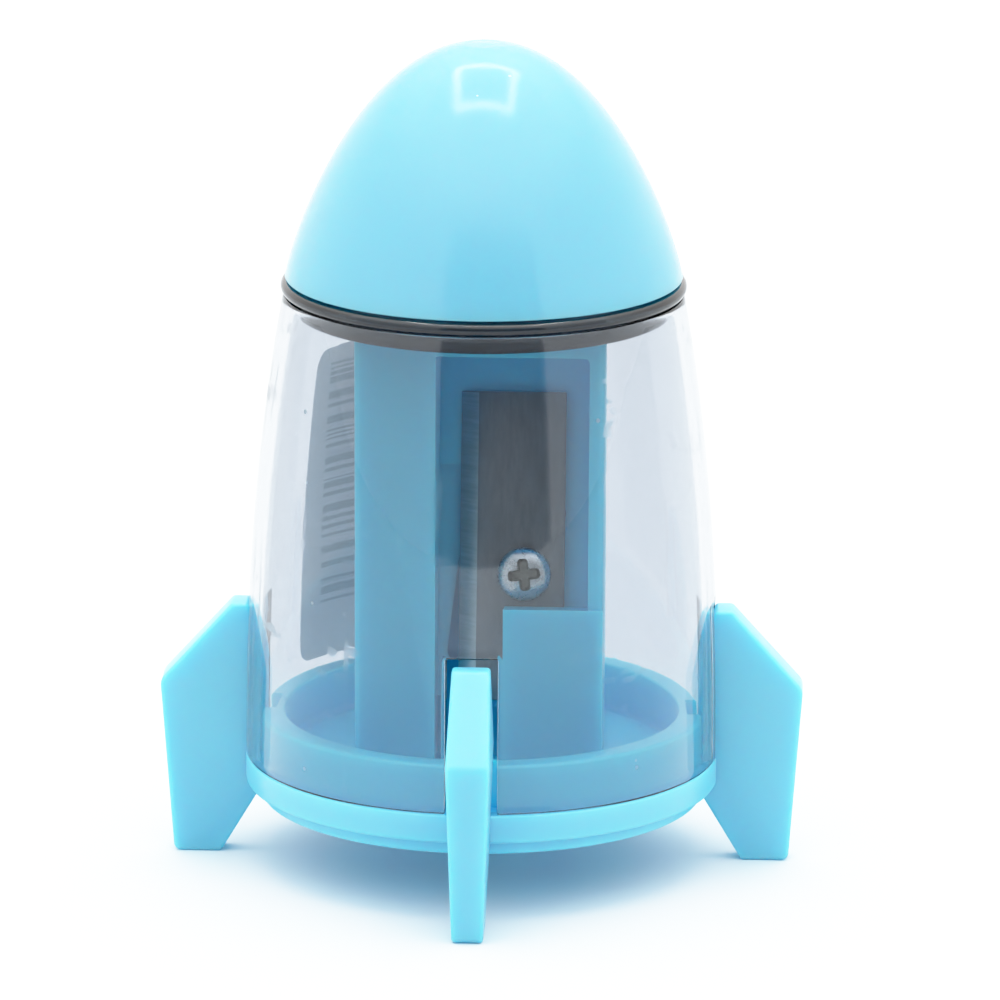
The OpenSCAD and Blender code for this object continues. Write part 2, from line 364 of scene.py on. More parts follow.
TENT_WHITE = 1.6
CEILING_WHITE = 3.1
OPENING_GREY = 0.45
OPENING_LEFT, OPENING_RIGHT, OPENING_TOP = -0.40, 0.75, 0.95
OPENING_BLUR = 0.06
world = bpy.data.worlds.new("light_tent")
bpy.context.scene.world = world
world.use_nodes = True
tent = world.node_tree
tent.nodes.clear()
direction = tent.nodes.new("ShaderNodeTexCoord").outputs["Generated"]
parts = tent.nodes.new("ShaderNodeSeparateXYZ")
link(tent, direction, parts.inputs[0])
forward = maths(tent, "MAXIMUM", maths(tent, "MULTIPLY", parts.outputs["Y"], -1.0), 0.001)
across = maths(tent, "DIVIDE", parts.outputs["X"], forward)
upward = maths(tent, "DIVIDE", parts.outputs["Z"], forward)
inside_left = ramp_between(tent, across, OPENING_LEFT - OPENING_BLUR, OPENING_LEFT + OPENING_BLUR)
inside_right = ramp_between(
    tent, across, OPENING_RIGHT - OPENING_BLUR, OPENING_RIGHT + OPENING_BLUR, 1, 0,
)
below_top = ramp_between(tent, upward, OPENING_TOP - 0.7, OPENING_TOP + 0.2, 1, 0)
opening = maths(tent, "MULTIPLY", maths(tent, "MULTIPLY", inside_left, inside_right), below_top)
walls = ramp_between(tent, parts.outputs["Z"], 0.42, 0.85, TENT_WHITE, CEILING_WHITE)
shade = ramp_between(tent, opening, 0.0, 1.0, 1.0, OPENING_GREY / TENT_WHITE)
brightness = maths(tent, "MULTIPLY", walls, shade)
sky = tent.nodes.new("ShaderNodeBackground")
link(tent, brightness, sky.inputs["Strength"])
sky.inputs["Color"].default_value = (1.0, 1.0, 1.0, 1)
world_out = tent.nodes.new("ShaderNodeOutputWorld")
link(tent, sky.outputs[0], world_out.inputs["Surface"])
print("tent built, opening", OPENING_LEFT, "to", OPENING_RIGHT)

# %% [markdown]
# ## Developing the picture
# A white tent makes highlights that a plain picture would cut off hard, and the blue would turn into
# flat cyan there. A camera rolls its highlights off instead. The Standard view with a curve does that:
# the darker half stays as it is, and the top eases towards white.

# %% Develop the picture with a soft shoulder
view = bpy.context.scene.view_settings
view.view_transform = "Standard"
view.use_curve_mapping = True
WHITE_AT = 1.5
view.curve_mapping.white_level = (WHITE_AT, WHITE_AT, WHITE_AT)
shoulder = view.curve_mapping.curves[3]
for seen, shown in ((0.25, 0.25), (0.5, 0.5), (0.75, 0.73), (1.0, 0.89), (1.25, 0.97)):
    shoulder.points.new(seen / WHITE_AT, shown)
view.curve_mapping.update()
print("white is reached at", WHITE_AT)

# %% [markdown]
# ## Roof lamps
# The tent alone gives light without shape. A square of four strip lamps in its roof adds the soft
# shadow under the base and a thin line of gloss on the nose. Strips are used, and not one big panel,
# because their reflections stay narrow on a round body.

# %% Hang the square of lamps in the roof
def add_lamp(name, place, target, width, depth, power):
    data = bpy.data.lights.new(name, "AREA")
    data.shape = "RECTANGLE"
    data.size = width
    data.size_y = depth
    data.energy = power
    lamp = bpy.data.objects.new(name, data)
    bpy.context.scene.collection.objects.link(lamp)
    lamp.location = place
    lamp.rotation_mode = "QUATERNION"
    lamp.rotation_quaternion = (Vector(target) - Vector(place)).to_track_quat("-Z", "Y")
    return lamp


ROOF = 0.36
ROOF_HALF = 0.10
ROOF_MIDDLE_Y = 0.04
STRIP = 0.022
LAMP_POWER = 0.13
DOWN = Vector((0, 0, -1))
for side in (-1, 1):
    place = Vector((side * ROOF_HALF, ROOF_MIDDLE_Y, ROOF))
    add_lamp(f"roof_side_{side}", place, place + DOWN, STRIP, 2 * ROOF_HALF + STRIP, LAMP_POWER)
    place = Vector((0, ROOF_MIDDLE_Y + side * ROOF_HALF, ROOF))
    add_lamp(f"roof_end_{side}", place, place + DOWN, 2 * ROOF_HALF - STRIP, STRIP, LAMP_POWER)
print("four roof lamps of", LAMP_POWER, "W")

# %% [markdown]
# ## The floor
# The tent's floor is one plain white sheet, far larger than the view, so that no edge shows behind
# the sharpener. In front it ends at the tent's opening, and the dim opening below that edge is what
# the barrel mirrors in its middle. The sheet isn't part of the object.

# %% Lay the floor
SHEET = 6.0
SHEET_FRONT = 0.28
clear_selection()
bpy.ops.mesh.primitive_plane_add(size=SHEET, location=(0, SHEET / 2 - SHEET_FRONT, 0))
floor = bpy.context.object
floor.name = "tent_floor"
floor_paint = bpy.data.materials.new("tent_floor")
floor_paint.use_nodes = True
floor_shader = floor_paint.node_tree.nodes["Principled BSDF"]
FLOOR_WHITE = (0.61, 0.64, 0.66, 1)
set_inputs(floor_shader, {"Base Color": FLOOR_WHITE, "Roughness": 0.7, "Specular IOR Level": 0.2})
floor.data.materials.append(floor_paint)
print("floor ends", SHEET_FRONT, "m in front")

# %% [markdown]
# ## Effects that several finishes share
# Moulded plastic is never perfectly flat or clean, and steel and paper have a grain. What several
# finishes share is built once as a node group with named inputs, and each material places it with its
# own values. A group only puts out masks and heights, and the material decides what to do with them.

# %% Group helpers
def new_group(name, inputs, outputs):
    """An empty shader group with float inputs {name: default} and float outputs."""
    group = bpy.data.node_groups.new(name, "ShaderNodeTree")
    for label, default in inputs.items():
        socket = group.interface.new_socket(label, in_out="INPUT", socket_type="NodeSocketFloat")
        socket.default_value = default
    for label in outputs:
        group.interface.new_socket(label, in_out="OUTPUT", socket_type="NodeSocketFloat")
    return group, group.nodes.new("NodeGroupInput"), group.nodes.new("NodeGroupOutput")


def place_on_object(tree, stretch=(1, 1, 1), turn=(0, 0, 0)):
    """Object coordinates, stretched and turned by a Mapping node."""
    where = tree.nodes.new("ShaderNodeTexCoord")
    mapping = tree.nodes.new("ShaderNodeMapping")
    set_inputs(mapping, {"Scale": stretch, "Rotation": turn})
    link(tree, where.outputs["Object"], mapping.inputs["Vector"])
    return mapping.outputs["Vector"]


def noise(tree, vector, scale, detail=2.0):
    """A Noise Texture's value; scale is a number or a socket."""
    node = tree.nodes.new("ShaderNodeTexNoise")
    link(tree, vector, node.inputs["Vector"])
    if isinstance(scale, bpy.types.NodeSocket):
        link(tree, scale, node.inputs["Scale"])
    else:
        node.inputs["Scale"].default_value = scale
    node.inputs["Detail"].default_value = detail
    return node.outputs["Fac"]

# %% [markdown]
# ### Unevenness, scratches and specks
# Slow noise stands for the wandering gloss of a mould. Noise stretched some sixty times in three
# directions and cut off high leaves hair-fine scratches. Voronoi cells give round specks, and their
# random colours pick out a few of them.

# %% Unevenness, scratches and specks
uneven, uneven_in, uneven_out = new_group("slow_unevenness", {"Scale": 60.0}, ["Mask"])
slow = noise(uneven, place_on_object(uneven), uneven_in.outputs["Scale"], detail=1.5)
link(uneven, ramp_between(uneven, slow, 0.32, 0.68), uneven_out.inputs["Mask"])

scratches, scratch_in, scratch_out = new_group("fine_scratches", {"Scale": 1.0, "Cover": 0.5}, ["Mask"])
lines = None
for turn, stretch in (
    ((0.3, 0.2, 0.5), (900, 900, 14)),
    ((1.1, 0.7, 0.2), (1100, 18, 1100)),
    ((0.6, 1.4, 1.0), (16, 1000, 1000)),
):
    drawn_out = place_on_object(scratches, stretch, turn)
    strands = noise(scratches, drawn_out, scratch_in.outputs["Scale"], detail=0)
    thin = ramp_between(scratches, strands, 0.70, 0.80)
    lines = thin if lines is None else maths(scratches, "MAXIMUM", lines, thin)
patches = ramp_between(scratches, noise(scratches, place_on_object(scratches), 130.0), 0.45, 0.7)
covered = maths(scratches, "MULTIPLY", lines, patches)
covered = maths(scratches, "MULTIPLY", covered, scratch_in.outputs["Cover"])
link(scratches, covered, scratch_out.inputs["Mask"])

specks, speck_in, speck_out = new_group("dust_specks", {"Scale": 700.0, "Size": 0.08}, ["Mask"])
cells = specks.nodes.new("ShaderNodeTexVoronoi")
link(specks, place_on_object(specks), cells.inputs["Vector"])
link(specks, speck_in.outputs["Scale"], cells.inputs["Scale"])
near = maths(specks, "LESS_THAN", cells.outputs["Distance"], speck_in.outputs["Size"])
pick = specks.nodes.new("ShaderNodeSeparateColor")
link(specks, cells.outputs["Color"], pick.inputs[0])
chosen = maths(specks, "GREATER_THAN", pick.outputs[0], 0.82)
link(specks, maths(specks, "MULTIPLY", near, chosen), speck_out.inputs["Mask"])
print("shared groups so far:", [g.name for g in bpy.data.node_groups])

# %% [markdown]
# ### Grain, bars and the inside of the barrel
# One grain serves them all: even for the skin of the plastic and for paper, drawn out along the
# height for flow marks, and short or long for ground steel. The bars stand for a label's print. The
# third mask says what lies behind the barrel's wall, where a part takes a lighter, more teal colour as
# painted light for the light that reaches it there.

# %% Grain, bars and the mask for painted light inside the barrel
grain, grain_in, grain_out = new_group(
    "grain", {"Across": 400.0, "Upright": 400.0, "Detail": 1.0, "Roughness": 0.5}, ["Height"],
)
stretch = grain.nodes.new("ShaderNodeCombineXYZ")
for axis, label in (("X", "Across"), ("Y", "Across"), ("Z", "Upright")):
    link(grain, grain_in.outputs[label], stretch.inputs[axis])
stretched = grain.nodes.new("ShaderNodeVectorMath")
stretched.operation = "MULTIPLY"
link(grain, place_on_object(grain), stretched.inputs[0])
link(grain, stretch.outputs[0], stretched.inputs[1])
grain_noise = grain.nodes.new("ShaderNodeTexNoise")
grain_noise.inputs["Scale"].default_value = 1.0
link(grain, stretched.outputs[0], grain_noise.inputs["Vector"])
link(grain, grain_in.outputs["Detail"], grain_noise.inputs["Detail"])
link(grain, grain_in.outputs["Roughness"], grain_noise.inputs["Roughness"])
link(grain, grain_noise.outputs["Fac"], grain_out.inputs["Height"])

LABEL_FROM = math.radians(100)
LABEL_TO = math.radians(149)
LABEL_MIDDLE = (LABEL_FROM + LABEL_TO) / 2
bars, bars_in, bars_out = new_group(
    "printed_bars", {"Density": 1500.0, "Left": 0.0, "Right": 1.0, "Bottom": 0.0, "Top": 1.0}, ["Mask"],
)
sheet_place = bars.nodes.new("ShaderNodeSeparateXYZ")
link(bars, place_on_object(bars, turn=(0, 0, math.pi / 2 - LABEL_MIDDLE)), sheet_place.inputs[0])
rows = noise(bars, place_on_object(bars, (0, 0, 1)), bars_in.outputs["Density"], detail=1.0)
printed = ramp_between(bars, rows, 0.49, 0.52)
for axis, low, high in (("X", "Left", "Right"), ("Z", "Bottom", "Top")):
    above = maths(bars, "GREATER_THAN", sheet_place.outputs[axis], bars_in.outputs[low])
    below = maths(bars, "LESS_THAN", sheet_place.outputs[axis], bars_in.outputs[high])
    printed = maths(bars, "MULTIPLY", printed, maths(bars, "MULTIPLY", above, below))
link(bars, printed, bars_out.inputs["Mask"])

# This mask carries painted light: blue parts inside the barrel take a lighter, more teal colour through
# it.
within, within_in, within_out = new_group("inside_barrel_painted_light", {"Radius": 0.017, "Floor": 0.009}, ["Mask"])
axes = within.nodes.new("ShaderNodeSeparateXYZ")
link(within, place_on_object(within), axes.inputs[0])
squares = [maths(within, "POWER", axes.outputs[a], 2.0) for a in "XY"]
off_axis = maths(within, "SQRT", maths(within, "ADD", *squares))
narrow = maths(within, "LESS_THAN", off_axis, within_in.outputs["Radius"])
high_up = maths(within, "GREATER_THAN", axes.outputs["Z"], within_in.outputs["Floor"])
link(within, maths(within, "MULTIPLY", narrow, high_up), within_out.inputs["Mask"])
print("shared groups:", [g.name for g in bpy.data.node_groups])

# %% [markdown]
# ### Using the groups in a material
# Each material starts from its own Principled shader. These helpers place a group with its values,
# mix two colours by a mask, and turn a height into a normal.

# %% Material helpers
def use_group(tree, group, **values):
    node = tree.nodes.new("ShaderNodeGroup")
    node.node_tree = group
    set_inputs(node, values)
    return node.outputs[0]


def blend_colours(tree, mask, first, second):
    """Mix two colours, each a triple or a socket, by a mask."""
    node = tree.nodes.new("ShaderNodeMix")
    node.data_type = "RGBA"
    link(tree, mask, node.inputs[0])
    for socket, value in ((node.inputs[6], first), (node.inputs[7], second)):
        if isinstance(value, bpy.types.NodeSocket):
            link(tree, value, socket)
        else:
            socket.default_value = (*value, 1)
    return node.outputs[2]


def bump(tree, height, distance):
    """A Bump node's normal for a height mask; distance is the height of a mask of 1."""
    node = tree.nodes.new("ShaderNodeBump")
    set_inputs(node, {"Strength": 1.0, "Distance": distance})
    link(tree, height, node.inputs["Height"])
    return node.outputs["Normal"]


def new_material(name):
    material = bpy.data.materials.new(name)
    material.use_nodes = True
    tree = material.node_tree
    return material, tree, tree.nodes["Principled BSDF"]

# %% [markdown]
# ## Blue plastic
# The nose, base and block are moulded from one light blue polystyrene. It is glossy and milky: light
# enters it and comes out again close by, which subsurface scattering gives, and some of it gets right
# through the thin walls. The mould's polish is good but not perfect, so gloss wanders slightly and
# fine scratches break it up. The three parts still get three colours, and the differences are painted
# light: each colour is set for how that part is lit.

# %% Mix the blue plastic
def let_light_through(tree, shader, colour):
    """Let light on its way from the tent pass through in this colour, as the thin walls do."""
    passing = tree.nodes.new("ShaderNodeBsdfTransparent")
    passing.inputs["Color"].default_value = (*colour, 1)
    path = tree.nodes.new("ShaderNodeLightPath")
    either = tree.nodes.new("ShaderNodeMixShader")
    link(tree, path.outputs["Is Shadow Ray"], either.inputs[0])
    link(tree, shader.outputs[0], either.inputs[1])
    link(tree, passing.outputs[0], either.inputs[2])
    link(tree, either.outputs[0], tree.nodes["Material Output"].inputs["Surface"])


BLUE_WALL = (0.02, 0.72, 0.87)
SKIN_RELIEF = 0.004 * MM


def blue_plastic(name, colour, tint, inside_painted_light_colour, gloss, scratch_cover):
    """Milky blue plastic; what lies inside the barrel takes a second colour, painted lighter and more
    teal for the light there.
    """
    material, tree, shader = new_material(name)
    slow = use_group(tree, uneven, Scale=55.0)
    lines = use_group(tree, scratches, Scale=1.0, Cover=scratch_cover)
    dust = use_group(tree, specks, Scale=420.0, Size=0.05)
    inside = use_group(tree, within, Radius=PLUG_R + 0.05 * MM, Floor=FLANGE_TOP - 0.05 * MM)
    body = blend_colours(tree, slow, colour, tint)
    # Painted light: inside the barrel the colour is lighter and more teal, for the light that reaches
    # it there.
    body = blend_colours(tree, inside, body, inside_painted_light_colour)
    dusty = blend_colours(tree, maths(tree, "MULTIPLY", dust, 0.35), body, (0.85, 0.9, 0.92))
    link(tree, dusty, shader.inputs["Base Color"])
    rough = maths(tree, "MULTIPLY_ADD", slow, 0.05, gloss)
    rough = maths(tree, "MULTIPLY_ADD", lines, 0.25, rough)
    dull = maths(tree, "MULTIPLY", dust, 0.7)
    link(tree, maths(tree, "MAXIMUM", rough, dull), shader.inputs["Roughness"])
    skin = use_group(tree, grain, Across=420.0, Upright=420.0, Detail=1.0)
    relief = maths(tree, "SUBTRACT", skin, maths(tree, "MULTIPLY", lines, 0.8))
    link(tree, bump(tree, relief, SKIN_RELIEF), shader.inputs["Normal"])
    set_inputs(shader, {
        "IOR": 1.55,
        "Subsurface Weight": 1.0,
        "Subsurface Radius": (0.5, 2.4, 2.8),
        "Subsurface Scale": 1.0 * MM,
    })
    let_light_through(tree, shader, BLUE_WALL)
    return material


# Painted light: the same plastic in three colours, each set lighter or darker, bluer or more teal, for
# how its part is lit.
nose_finish = blue_plastic(
    "blue_nose", (0.130, 0.400, 0.550), (0.140, 0.415, 0.565), (0.130, 0.400, 0.550), 0.12, 0.12,
)
base_finish = blue_plastic(
    "blue_base", (0.135, 0.475, 0.628), (0.145, 0.490, 0.643), (0.120, 0.640, 0.790), 0.28, 0.15,
)
block_finish = blue_plastic(
    "blue_block", (0.085, 0.540, 0.700), (0.095, 0.560, 0.720), (0.085, 0.540, 0.700), 0.30, 0.3,
)
print("blue finishes:", nose_finish.name, base_finish.name, block_finish.name)

# %% [markdown]
# ## Clear and smoky plastic
# The barrel is clear polystyrene with a faint grey tint, and the ring is the same plastic dyed nearly
# black. Both are true refracting solids with real walls. Lamps have to reach what is inside, so for
# rays from lamps a plain tinted Transparent shader takes over.

# %% Mix the clear plastics
CLEAR_RELIEF = 0.0025 * MM


def see_through(name, colour, rim_colour, lamp_colour, gloss, scratch_cover, streaks):
    """Clear plastic that looks deeper at its rims, where the eye passes through more of the wall."""
    material, tree, shader = new_material(name)
    lines = use_group(tree, scratches, Scale=0.8, Cover=scratch_cover)
    dust = use_group(tree, specks, Scale=330.0, Size=0.06)
    flow = use_group(tree, grain, Across=330.0, Upright=33.0, Detail=2.0)
    facing = tree.nodes.new("ShaderNodeLayerWeight")
    facing.inputs["Blend"].default_value = 0.5
    rim = ramp_between(tree, facing.outputs["Facing"], 0.62, 0.98)
    link(tree, blend_colours(tree, rim, colour, rim_colour), shader.inputs["Base Color"])
    rough = maths(tree, "MULTIPLY_ADD", lines, 0.3, gloss)
    dull = maths(tree, "MULTIPLY", dust, 0.6)
    link(tree, maths(tree, "MAXIMUM", rough, dull), shader.inputs["Roughness"])
    relief = maths(tree, "SUBTRACT", maths(tree, "MULTIPLY", flow, streaks), lines)
    link(tree, bump(tree, relief, CLEAR_RELIEF), shader.inputs["Normal"])
    set_inputs(shader, {"IOR": 1.5, "Transmission Weight": 1.0})
    let_light_through(tree, shader, lamp_colour)
    return material


barrel_finish = see_through(
    "clear_barrel", (0.635, 0.660, 0.695), (0.34, 0.40, 0.45), (0.80, 0.93, 0.98), 0.01, 0.7, 1.0,
)
ring_finish = see_through(
    "smoke_ring", (0.035, 0.045, 0.052), (0.02, 0.025, 0.03), (0.05, 0.06, 0.07), 0.04, 0.4, 0.5,
)

# %% [markdown]
# ## Steel
# The blade is carbon steel, ground along its length, so its streaks run up and down and its edge
# facet is ground the other way. The screw is plated and brighter. Its recess is rougher and painted
# dark as the shade that falls in it. One function makes all four, because they differ only in colour,
# gloss and the way the grain runs.

# %% Mix the steels
def steel(name, colour, tint, gloss, across, upright, depth):
    """Metal with a grain of so many turns per metre across and up, and bumps of this depth."""
    material, tree, shader = new_material(name)
    ground = use_group(tree, grain, Across=across, Upright=upright, Detail=3.0, Roughness=0.7)
    slow = use_group(tree, uneven, Scale=180.0)
    streak = ramp_between(tree, ground, 0.3, 0.7)
    body = blend_colours(tree, streak, colour, tint)
    stains = maths(tree, "MULTIPLY", slow, 0.25)
    stained = blend_colours(tree, stains, body, tuple(0.6 * c for c in colour))
    link(tree, stained, shader.inputs["Base Color"])
    rough = maths(tree, "MULTIPLY_ADD", streak, 0.12, gloss)
    link(tree, maths(tree, "MULTIPLY_ADD", slow, 0.08, rough), shader.inputs["Roughness"])
    link(tree, bump(tree, ground, depth), shader.inputs["Normal"])
    shader.inputs["Metallic"].default_value = 1.0
    return material


blade_finish = steel(
    "blade_steel", (0.18, 0.19, 0.20), (0.22, 0.23, 0.24), 0.34, 2600, 60, 0.0004 * MM,
)
edge_finish = steel(
    "ground_edge", (0.30, 0.36, 0.37), (0.40, 0.46, 0.47), 0.28, 300, 3200, 0.001 * MM,
)
screw_finish = steel(
    "screw_steel", (0.42, 0.44, 0.44), (0.56, 0.58, 0.58), 0.20, 2200, 2200, 0.002 * MM,
)
# Painted shade: the recess's dark colour stands for the shade inside the cross.
recess_painted_shade_finish = steel(
    "screw_recess_painted_shade", (0.13, 0.13, 0.11), (0.22, 0.22, 0.19), 0.40, 2200, 2200, 0.01 * MM,
)
print("steels:", blade_finish.name, edge_finish.name, screw_finish.name, recess_painted_shade_finish.name)

# %% [markdown]
# ## Paper
# The label is matt paper with plain grey bars in place of any print. Its two sides differ: the glue
# side is painted pale for the light that shines through the paper from behind, and its faint bars are
# the print's painted shadow in that light. Paper this thin glows when light falls on its other side, so
# light is let into it and out again.

# %% Mix the label paper
PAPER_RELIEF = 0.01 * MM


def paper_side(name, dark_fibre, light_fibre, ink_and_show_through):
    """One side of the paper: fibres, and plain bars of uneven width across it: ink on the print side,
    the print's painted shadow on the glue side.
    """
    material, tree, shader = new_material(name)
    print_and_show_through_mask = use_group(
        tree, bars, Density=1500.0, Left=-5.0 * MM, Right=6.5 * MM,
        Bottom=label_low.z + 4.3 * MM, Top=label_high.z - 1.6 * MM,
    )
    fibres = use_group(tree, grain, Across=1600.0, Upright=1600.0, Detail=3.0)
    sheet = blend_colours(tree, fibres, dark_fibre, light_fibre)
    link(tree, blend_colours(tree, print_and_show_through_mask, sheet, ink_and_show_through), shader.inputs["Base Color"])
    link(tree, bump(tree, fibres, PAPER_RELIEF), shader.inputs["Normal"])
    set_inputs(shader, {
        "Roughness": 0.65,
        "Subsurface Weight": 0.6,
        "Subsurface Radius": (1.0, 1.0, 1.0),
        "Subsurface Scale": 0.2 * MM,
    })
    return material


print_side = paper_side("label_print_side", (0.74, 0.76, 0.77), (0.86, 0.87, 0.88), (0.08, 0.09, 0.10))
# Painted light: the glue side is paler for light coming through the paper, and its bars are the print's
# shadow in that light.
glue_side = paper_side("label_glue_side", (0.88, 0.90, 0.91), (0.92, 0.94, 0.95), (0.58, 0.63, 0.66))
print("finishes:", [m.name for m in bpy.data.materials])

# %% [markdown]
# ## The nose cone
# The cone is a thin dome, open below, with a straight land inside its edge that grips the ring's
# neck. Its outline swells more than an ellipse near the edge, so a power curve draws it. The plastic
# entered the mould at the tip, and a small round witness mark is left there.

# %% Turn the nose cone
NOSE_WALL = 1.4 * MM
GATE_R = 1.35 * MM
GATE_DEPTH = 0.07 * MM
LIP_ROUND = 0.15 * MM


def dome(rise_share, radius, rise):
    """Point of the dome at a share of its rise: 0 at the edge, 1 at the tip."""
    return radius * max(1 - rise_share ** 1.22, 0) ** (1 / 2.12), rise * rise_share


def dome_section(radius, rise, start, count):
    """Points from a start height to the tip, closer together where the curve turns fastest."""
    shares = [1 - (1 - i / count) ** 2 * (1 - start / rise) for i in range(count + 1)]
    return [dome(share, radius, rise) for share in shares]


nose_r = nose_high.x
nose_rise = nose_high.z - nose_low.z
land_r = nose_r - 1.87 * MM
land_h = 2.15 * MM
outer = dome_section(nose_r, nose_rise, LIP_ROUND, 64)
marked = [(r, z - GATE_DEPTH if r < GATE_R else z) for r, z in outer]
inner = dome_section(nose_r - NOSE_WALL, nose_rise - NOSE_WALL, land_h, 40)
lip = arc((nose_r - LIP_ROUND, LIP_ROUND), LIP_ROUND, -90, -8, 4)
section = [(land_r, 0), *lip, *marked, *reversed(inner), (land_r, land_h)]
nose = turned([(r, nose_low.z + z) for r, z in section])
soften(nose, 30)
give_finishes(nose, nose_finish)
hand_over(nose, "nose_shell", "nose_assembly", "blue_plastic", "nose_cone")

# %% [markdown]
# ## The coupling ring
# The dark ring joins nose and barrel. From below it is a spigot that centres itself in the barrel, a
# round bead that shows as a dark line all round, and a neck that the nose is pressed on to.

# %% Turn the coupling ring
BEAD_BOTTOM = barrel_high.z + 0.05 * MM
BEAD_H = 1.0 * MM
RING_BORE_R = 12.3 * MM
spigot_r = LIP_R - BARREL_WALL - 0.15 * MM
neck_r = nose_r - 1.92 * MM
bead_round = BEAD_H / 2
bead_centre = (ring_high.x - bead_round, BEAD_BOTTOM + bead_round)
section = [
    (RING_BORE_R, ring_low.z + 0.2 * MM),
    (RING_BORE_R + 0.2 * MM, ring_low.z),
    *arc((spigot_r - 0.35 * MM, ring_low.z + 0.35 * MM), 0.35 * MM, -90, 0, 4),
    (spigot_r, BEAD_BOTTOM),
    *arc(bead_centre, bead_round, -90, 90, 14),
    (neck_r, BEAD_BOTTOM + BEAD_H),
    (neck_r, ring_high.z - 0.2 * MM),
    (neck_r - 0.2 * MM, ring_high.z),
    (RING_BORE_R, ring_high.z),
]
ring = turned(section)
soften(ring, 30)
give_finishes(ring, ring_finish)
hand_over(ring, "smoke_ring", "nose_assembly", "smoke_plastic", "coupling_ring")

# %% [markdown]
# ## The barrel
# The barrel is a clear shell with one wall, so only its outside is drawn. The spun skin is cut along
# the edges of the four slots, the slots' faces are deleted, and Solidify then gives the skin its wall,
# which also makes the real, square edges that catch the light beside each fin.

# %% Turn the barrel's skin and cut its slots
rows = 60
heights = [barrel_low.z + (barrel_high.z - barrel_low.z) * i / rows for i in range(rows + 1)]
barrel = turned([(barrel_radius(z), z) for z in heights], steps=192, closed=False)
activate(barrel)
bpy.ops.object.duplicate()
barrel_skin = bpy.context.object
cuts = [((side * SLOT_HALF, 0, 0), (1, 0, 0)) for side in (-1, 1)]
cuts += [((0, side * SLOT_HALF, 0), (0, 1, 0)) for side in (-1, 1)]
cuts += [((0, 0, SLOT_TOP), (0, 0, 1))]
for point, normal in cuts:
    edit_all(barrel)
    bpy.ops.mesh.bisect(plane_co=point, plane_no=normal)
    to_object_mode()


def in_slot(face):
    x, y, z = face.center
    return z < SLOT_TOP and min(abs(x), abs(y)) < SLOT_HALF


select_in_edit_mode(barrel, "FACE", in_slot)
bpy.ops.mesh.delete(type="FACE")
to_object_mode()
tidy_normals(barrel)
apply_modifier(barrel, "SOLIDIFY", thickness=BARREL_WALL, offset=-1, use_even_offset=True)
round_edges(barrel, 0.1 * MM, angle=50, segments=2)
soften(barrel, 30)
give_finishes(barrel, barrel_finish)
hand_over(barrel, "barrel_shell", "barrel_assembly", "clear_plastic", "barrel")

# %% [markdown]
# ## The label
# A paper label is stuck round the back of the barrel. It is cut flat, with rounded corners, divided
# into a fine grid, and wrapped on the barrel's skin with Shrinkwrap, as a thumb would press it down.

# %% Cut the label and wrap it
LABEL_R = 17.4 * MM
LABEL_W = 2 * LABEL_R * math.tan((LABEL_TO - LABEL_FROM) / 2)
label_h = label_high.z - label_low.z
clear_selection()
bpy.ops.mesh.primitive_plane_add(size=1)
label = bpy.context.object
label.scale = (LABEL_W, label_h, 1)
apply_place(label)
bpy.ops.object.mode_set(mode="EDIT")
bpy.ops.mesh.select_mode(type="VERT")
bpy.ops.mesh.select_all(action="SELECT")
bpy.ops.mesh.bevel(offset=1.5 * MM, segments=6, affect="VERTICES")
grid = 0.7 * MM
for axis, length in ((0, LABEL_W), (1, label_h)):
    for i in range(1, int(length / grid)):
        point = [0, 0, 0]
        normal = [0, 0, 0]
        point[axis] = -length / 2 + i * grid
        normal[axis] = 1
        bpy.ops.mesh.select_all(action="SELECT")
        bpy.ops.mesh.bisect(plane_co=point, plane_no=normal)
to_object_mode()
out = Vector((math.cos(LABEL_MIDDLE), math.sin(LABEL_MIDDLE), 0))
up = Vector((0, 0, 1))
across = up.cross(out)
stand = Matrix((across, up, out)).transposed().to_4x4()
stand.translation = out * LABEL_R + up * (label_low.z + label_high.z) / 2
label.matrix_world = stand
apply_place(label)
apply_modifier(
    label, "SHRINKWRAP", target=barrel_skin, wrap_method="NEAREST_SURFACEPOINT",
    wrap_mode="ABOVE_SURFACE", offset=0.03 * MM,
)
tidy_normals(label)
apply_modifier(label, "SOLIDIFY", thickness=0.1 * MM, offset=1)
bpy.data.objects.remove(barrel_skin)
soften(label, 40)


def faces_inwards(face):
    return face.normal.dot(Vector((face.center.x, face.center.y, 0))) < 0


give_finishes(label, print_side, glue_side, faces_inwards)
hand_over(label, "label_sheet", "barrel_assembly", "paper", "label")

# %% [markdown]
# ## The base
# Flange, floor, plug ring and fins come out of one mould, so here too they are joined into one solid.
# The round part is turned first, because it is a body of revolution, and four boxes then cut the
# shallow gaps in the outside of the plug ring, one behind each fin.

